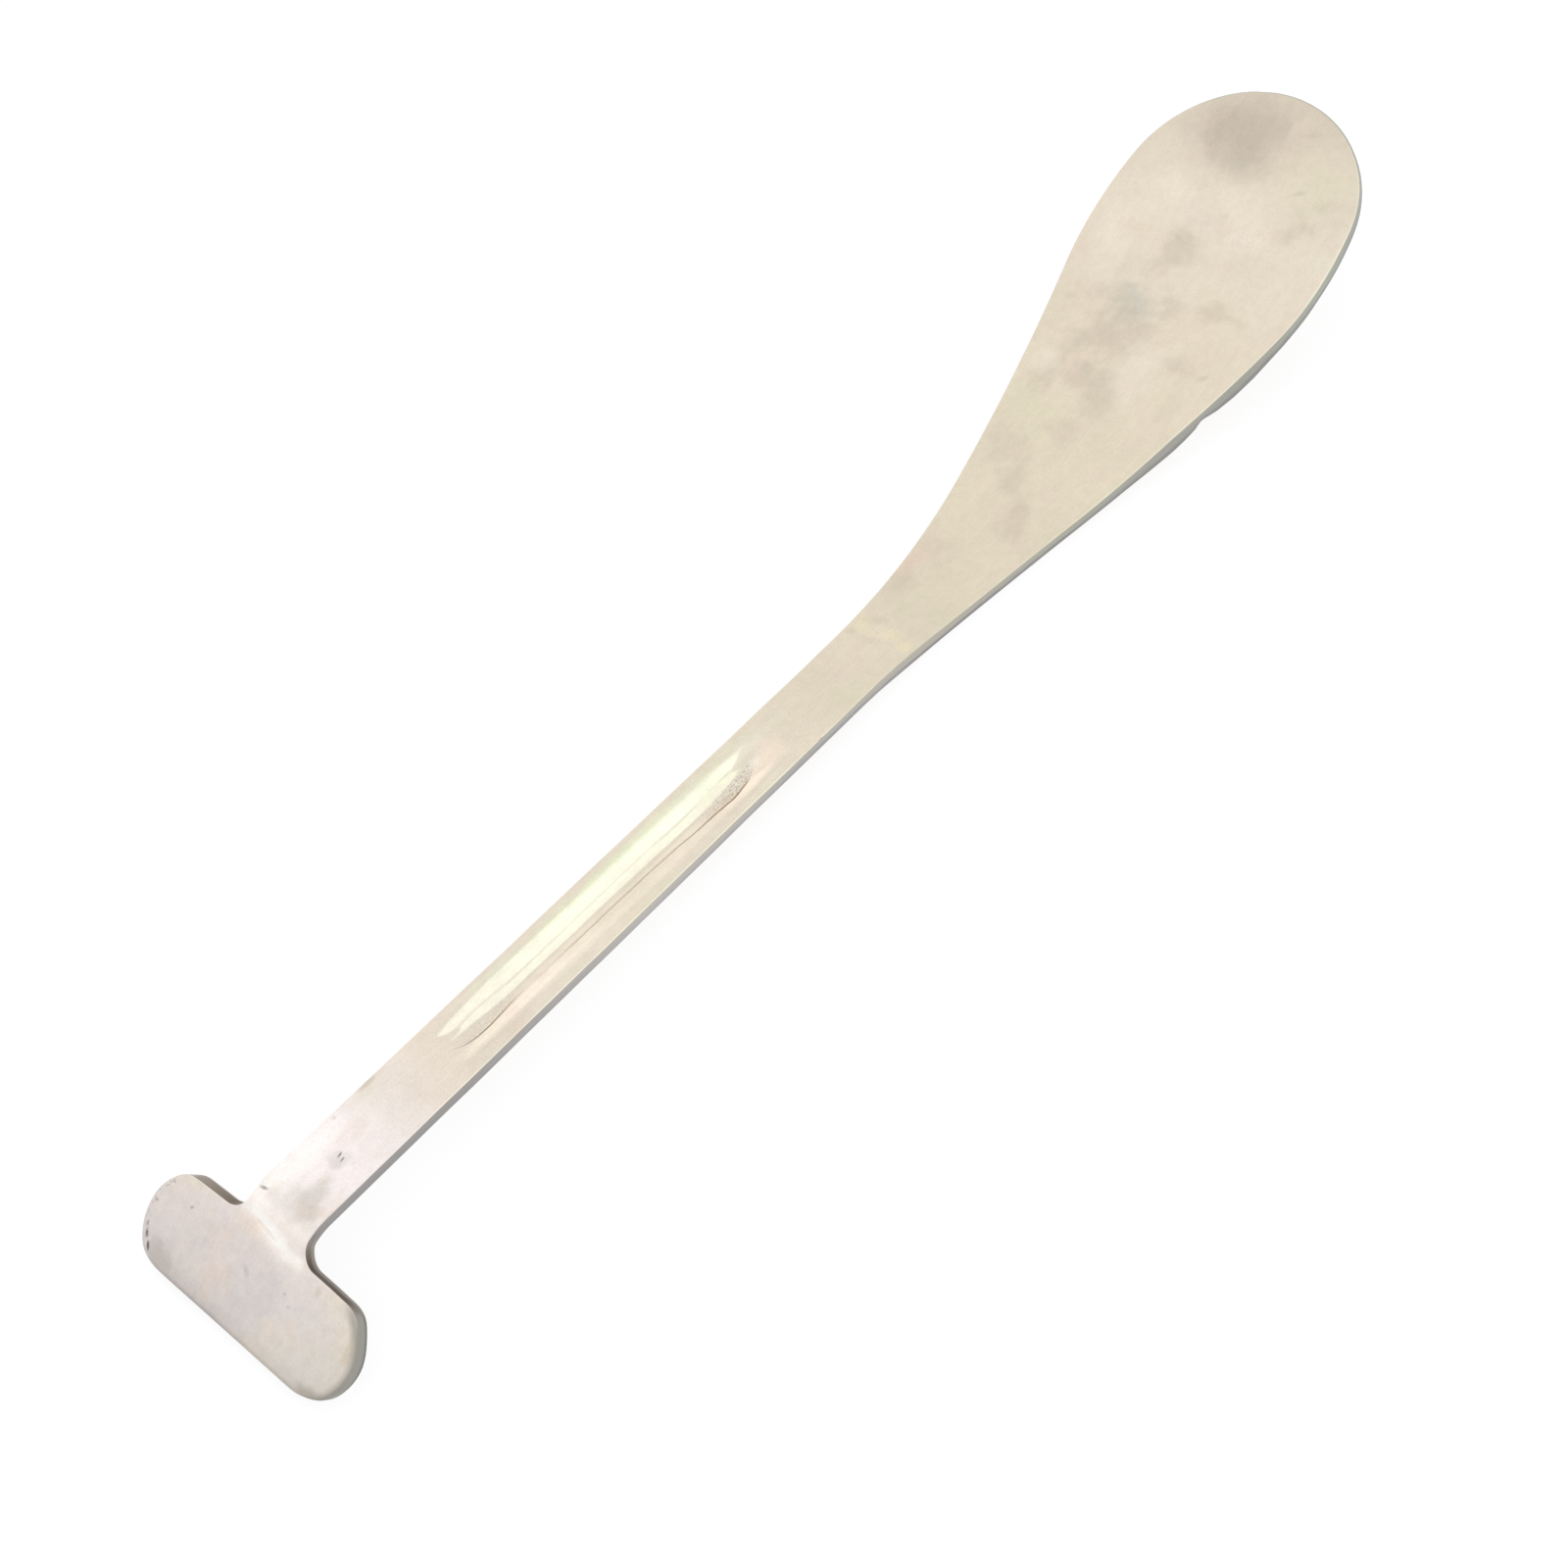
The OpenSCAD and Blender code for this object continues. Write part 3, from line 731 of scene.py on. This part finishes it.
# Tones of the plate's left shoulder, darkened by painted shade along it: y and colour
LEFT_EDGE = [
    (6.0, rgb(150, 138, 126)), (9.5, rgb(122, 109, 97)), (13.0, rgb(142, 130, 118)),
    (17.7, rgb(164, 154, 143)), (18.5, rgb(176, 168, 160)), (19.0, rgb(208, 201, 196)),
    (25.0, rgb(200, 203, 198)),
]


def with_marks(n, colour, where, ragged):
    """Adds the small marks."""
    for s, y, long, wide, turn, raggedness, strength, tone in MARKS:
        turned = (0, 0, math.radians(turn))
        spot = n.add("ShaderNodeMapping", {"Vector": where, "Location": (s, y, 0), "Rotation": turned,
                                           "Scale": (long, wide, 20)}, vector_type="TEXTURE")
        reach = n.vector("LENGTH", spot, out=1)
        if raggedness:
            reach = n.math("ADD", reach, n.math("MULTIPLY", n.math("SUBTRACT", ragged, 0.5), raggedness * 4))
        colour = n.mix(n.math("MULTIPLY", n.spread(reach, 1.5, 0.3), strength), colour, tone)
    return colour


def with_groove(n, colour, where, ragged, place):
    """Adds what the press left in the groove: rubbed bands, a darker line along the crease, and the pitted
    feet with painted glints among their pits.
    """
    along, across, through = place
    bands = n.noise(n.vector("MULTIPLY", where, (0.02, 1.1, 1)), 1.0, 2, 0.5)
    from_middle = n.math("ABSOLUTE", n.math("SUBTRACT", along, GROOVE_START + GROOVE_LEN / 2))
    in_groove = n.math("MULTIPLY", n.spread(n.math("ABSOLUTE", across), 5.6, 4.6),
                       n.spread(from_middle, GROOVE_LEN / 2 + 1, GROOVE_LEN / 2 - 7))
    in_groove = n.math("MULTIPLY", in_groove, n.spread(through, 0.3, 0.1))
    rubbed = n.math("MULTIPLY", in_groove, n.spread(bands, 0.42, 0.68, 0.0, 0.25))
    colour = n.mix(rubbed, colour, rgb(219, 214, 193))

    from_crease, crease_darkness, foot = n.split(n.add("ShaderNodeAttribute", out="Vector", attribute_name="groove"))
    pits = n.noise(n.vector("MULTIPLY", where, (1.0, 1.8, 1)), 1.9, 3, 0.75)
    # on the feet: a beige tint, dark pits, and bright specks between them that are painted glints
    for share, tone in ((0.5, rgb(218, 209, 196)),
                        (n.spread(pits, 0.51, 0.63, 0.0, 0.8), rgb(146, 136, 125)),
                        (n.spread(pits, 0.47, 0.38, 0.0, 0.8), rgb(254, 248, 238))):
        colour = n.mix(n.math("MULTIPLY", foot, share), colour, tone)
    # a darker line along the crease
    from_crease = n.math("ADD", from_crease, n.spread(ragged, 0.3, 0.7, -0.08, 0.08))
    darkened_crease = n.math("MULTIPLY", crease_darkness, n.spread(n.math("ABSOLUTE", from_crease), 0.32, 0.06))
    return n.mix(darkened_crease, colour, rgb(128, 114, 102)), n.math("MULTIPLY", foot, pits)


def with_edges(n, colour, blank, place, on_plate):
    """Adds the ground edges, duller than the faces and darkened further by painted shade: two greyer tones,
    brownish on the left shoulder, grey at the right end.
    """
    along, across, through = place
    streaks = n.noise(n.vector("MULTIPLY", blank, (0.35, 0.35, 8)), 1.0, 3, 0.6)
    split = n.math("ADD", through, n.math("MULTIPLY", n.math("SUBTRACT", streaks, 0.5), 0.5))
    edge_tone = n.mix(n.spread(split, 0.40, 0.75), n.ramp(along, UPPER_EDGE), n.ramp(along, LOWER_EDGE))
    left_edge = n.mix(n.spread(split, 0.75, 0.98), n.ramp(across, LEFT_EDGE), rgb(186, 176, 170))
    left = n.math("MULTIPLY", n.spread(across, 5.5, 8.0), n.spread(along, -2.0, -7.0))
    edge_tone = n.mix(left, edge_tone, left_edge)
    end_tone = n.mix(n.spread(through, 0.5, 0.9), rgb(162, 165, 157), rgb(118, 118, 112))
    edge_tone = n.mix(n.math("MULTIPLY", on_plate, n.spread(across, -19.6, -20.8)), edge_tone, end_tone)

    # the edge's tone begins at once on the blade, and lower down on the handle and the plate
    on_blade = n.spread(along, 115.0, 140.0)
    begins = n.add("ShaderNodeMapRange", {0: through, 1: n.spread(on_blade, 0.0, 1.0, 0.03, 0.003),
                                          2: n.spread(on_blade, 0.0, 1.0, 0.10, 0.05)},
                   interpolation_type="SMOOTHSTEP")
    rim = n.math("MULTIPLY", begins, n.spread(through, 0.97, 0.84))
    return n.mix(rim, colour, edge_tone), rim


def with_plate_ends(n, colour, blank, where, place, on_plate):
    """Adds the plate's ends: painted shade greying the right one towards its rounded rim, and the left one
    pitted along it.
    """
    _, across, through = place

    def near_rim(side, low, high):
        at_end = n.vector("SUBTRACT", n.vector("MULTIPLY", blank, (1, 1, 0)), (END_S, side * END_Y, 0))
        return n.spread(n.vector("LENGTH", at_end, out=1), END_R + low, END_R + high)
    # painted shade on the right end's rounded rim
    rim_shade_on_right_end = n.math("MULTIPLY", near_rim(-1, -1.5, 0.1), n.spread(across, -17.0, -20.5))
    rim_shade_on_right_end = n.math("MULTIPLY", n.math("MULTIPLY", rim_shade_on_right_end, on_plate), n.spread(through, 0.9, 0.3))
    colour = n.mix(n.math("MULTIPLY", rim_shade_on_right_end, 0.8), colour, rgb(163, 158, 151))
    pitted = n.math("MULTIPLY", near_rim(1, -1.5, -0.8), n.spread(across, 18.5, 21.0))
    pits = n.spread(n.noise(where, 1.3, 2, 0.6), 0.56, 0.66)
    pitted = n.math("MULTIPLY", n.math("MULTIPLY", pitted, on_plate), pits)
    return n.mix(n.math("MULTIPLY", pitted, 0.6), colour, rgb(140, 137, 130))


def steel_material():
    material = bpy.data.materials.new("worn_satin_steel")
    material.use_nodes = True
    n = Nodes(material.node_tree)
    blank = n.add("ShaderNodeAttribute", out="Vector", attribute_name="blank")
    # the lower face lies far from the upper one in the textures' space
    where = n.vector("MULTIPLY", blank, (1, 1, 60))
    place = along, across, through = n.split(blank)

    clouds = n.noise(where, 0.075, 4, 0.55, 0.4)
    patches = n.noise(n.vector("ADD", where, (310, 40, 0)), 0.16, 3, 0.5, 0.3)
    drift = n.noise(n.vector("ADD", where, (90, 170, 0)), 0.05, 2, 0.5, 0.2)
    mottle = n.noise(n.vector("ADD", where, (50, 70, 0)), 0.55, 4, 0.65)
    grain = n.noise(where, 2.2, 3, 0.6)
    brushed = n.noise(n.vector("MULTIPLY", where, (0.09, 3.2, 1)), 1.0, 4, 0.65)
    ragged = n.noise(n.vector("ADD", where, (12, 500, 0)), 0.35, 3, 0.6)
    on_plate = n.spread(along, -5.0, -6.5)

    # the stains, together with the painted highlights, reflections and shade of the tones and stains
    colour = n.add("ShaderNodeAttribute", attribute_name="stain_and_painted_light")
    colour = n.mix(n.math("MULTIPLY", n.spread(patches, 0.50, 0.72), 0.35), colour, rgb(234, 215, 199))
    colour = n.mix(n.math("MULTIPLY", n.spread(drift, 0.50, 0.70), 0.30), colour, rgb(226, 221, 192))
    colour = with_marks(n, colour, where, ragged)
    colour, foot_pits = with_groove(n, colour, where, ragged, place)
    colour, rim = with_edges(n, colour, blank, place, on_plate)
    colour = with_plate_ends(n, colour, blank, where, place, on_plate)

    # clouds, mottling, grain and brushing
    mottled = n.spread(mottle, 0.3, 0.7, -1.0, 1.0)
    blotch = n.math("MULTIPLY", mottled, n.spread(along, -4.0, -10.0, 0.026, 0.036))
    lightness = n.math("ADD", n.spread(clouds, 0.35, 0.68, 1.0, 0.955), blotch)
    lightness = n.math("ADD", lightness, n.spread(grain, 0.3, 0.7, -0.029, 0.029))
    lightness = n.math("ADD", lightness, n.spread(brushed, 0.3, 0.7, -0.018, 0.018))
    colour = n.brighten(colour, lightness)

    rough = n.math("ADD", n.spread(along, 118.0, 150.0, 0.20, 0.31), n.spread(clouds, 0.3, 0.7, -0.02, 0.04))
    rough = n.math("ADD", rough, n.spread(along, -2.0, -9.0, 0.0, 0.12))
    rough = n.math("ADD", rough, n.spread(brushed, 0.3, 0.7, -0.02, 0.03))
    rough = n.math("ADD", rough, n.math("MULTIPLY", rim, 0.16))

    height = n.math("ADD", n.math("MULTIPLY", grain, 0.0025), n.math("MULTIPLY", brushed, 0.0022))
    height = n.math("ADD", height, n.math("MULTIPLY", n.noise(where, 0.3, 2), 0.015))
    height = n.math("SUBTRACT", height, n.math("MULTIPLY", foot_pits, 0.12))
    bump = n.add("ShaderNodeBump", {"Strength": 1.0, "Distance": MM, "Height": height})

    steel = n.add("ShaderNodeBsdfPrincipled", {"Base Color": colour, "Metallic": 1.0, "Roughness": rough,
                                               "Normal": bump})
    n.surface("ShaderNodeOutputMaterial", steel)
    return material


mesh.materials.append(steel_material())
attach(spatula, "root")
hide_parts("spatula")


def floor_material():
    """Pale floor that the camera and the steel see as white, with the object's soft shadow kept."""
    material = bpy.data.materials.new("pale_floor")
    material.use_nodes = True
    n = Nodes(material.node_tree)
    rays = n.tree.nodes.new("ShaderNodeLightPath").outputs
    seen = n.math("MAXIMUM", rays["Is Camera Ray"], rays["Is Glossy Ray"])
    seen = n.math("MAXIMUM", seen, rays["Is Transmission Ray"])
    plain = n.add("ShaderNodeBsdfDiffuse", {"Color": (0.90, 0.90, 0.90, 1)})
    dim = n.add("ShaderNodeBsdfDiffuse", {"Color": (0.20, 0.20, 0.21, 1)})
    lit = n.add("ShaderNodeEmission", {"Color": (1, 1, 1, 1), "Strength": 0.83})
    white = n.add("ShaderNodeAddShader", {0: dim, 1: lit})
    n.surface("ShaderNodeOutputMaterial", n.add("ShaderNodeMixShader", {0: seen, 1: plain, 2: white}))
    return material


FLOOR_HALF = 4.0
FLOOR_DROP = 0.00002      # metres below the part's lowest point, so that the two never coincide
floor_mesh = bpy.data.meshes.new("floor")
corners = [(-FLOOR_HALF, -FLOOR_HALF, 0), (FLOOR_HALF, -FLOOR_HALF, 0), (FLOOR_HALF, FLOOR_HALF, 0),
           (-FLOOR_HALF, FLOOR_HALF, 0)]
floor_mesh.from_pydata(corners, [], [(0, 1, 2, 3)])
floor_mesh.materials.append(floor_material())
floor = bpy.data.objects.new("floor", floor_mesh)
floor.location.z = -FLOOR_DROP
bpy.context.scene.collection.objects.link(floor)


def studio_world():
    """A plain bright room, a little darker at the horizon."""
    world = bpy.data.worlds.new("studio")
    bpy.context.scene.world = world
    world.use_nodes = True
    n = Nodes(world.node_tree)
    upwards = n.split(n.add("ShaderNodeTexCoord", out="Generated"))[2]
    colour = n.mix(n.spread(upwards, 0.0, 0.5), (0.96, 0.95, 0.96, 1), (0.98, 0.98, 0.98, 1))
    n.surface("ShaderNodeOutputWorld", n.add("ShaderNodeBackground", {"Color": colour, "Strength": 1.0}))


def softbox(name, at, aim, size, radiance, colour):
    """A rectangular lamp at one point of the handle's frame that faces another."""
    data = bpy.data.lights.new(name, "AREA")
    data.shape = "RECTANGLE"
    data.size, data.size_y = (length * MM for length in size)
    data.energy = radiance * math.pi * data.size * data.size_y
    data.color = colour
    lamp = bpy.data.objects.new(name, data)
    back = (Vector(at) - Vector(aim)).normalized()
    side = back.cross(Vector((1, 0, 0))).normalized()
    turned = Matrix((LAY @ side.cross(back), LAY @ side, LAY @ back)).transposed()
    lamp.matrix_world = Matrix.Translation(laid(*at)) @ turned.to_4x4()
    lamp.visible_camera = False
    bpy.context.scene.collection.objects.link(lamp)


studio_world()
softbox("overhead_softbox", (240, -167, 452), (70, 0, 0), (250, 480), 0.36, (0.72, 1.0, 0.95))
softbox("near_softbox", (-95, 240, 332), (0, 0, 0), (410, 200), 0.10, (1.0, 0.96, 0.96))
softbox("left_panel", (280, 520, 180), (70, 0, 0), (400, 350), 0.12, (1.0, 0.90, 0.88))

# The camera of the photograph, from a fit of the part's outlines, in the frame of the level handle
CAMERA_AT = (-54.17, -190.35, 281.27)
CAMERA_RIGHT = Vector((0.64756, -0.7521, -0.1225))
CAMERA_DOWN = Vector((-0.63089, -0.43901, -0.63972))
CAMERA_AHEAD = Vector((0.42736, 0.49154, -0.75878))
LENS, SENSOR = 49.98, 36.0
camera_data = bpy.data.cameras.new("camera")
camera_data.sensor_width, camera_data.lens = SENSOR, LENS
camera_data.clip_start, camera_data.clip_end = 0.01, 50
camera = bpy.data.objects.new("camera", camera_data)
camera_turn = Matrix((LAY @ CAMERA_RIGHT, LAY @ -CAMERA_DOWN, LAY @ -CAMERA_AHEAD)).transposed()
camera.matrix_world = Matrix.Translation(laid(*CAMERA_AT)) @ camera_turn.to_4x4()
bpy.context.scene.collection.objects.link(camera)
bpy.context.scene.camera = camera

bpy.context.scene.view_settings.view_transform = "Standard"
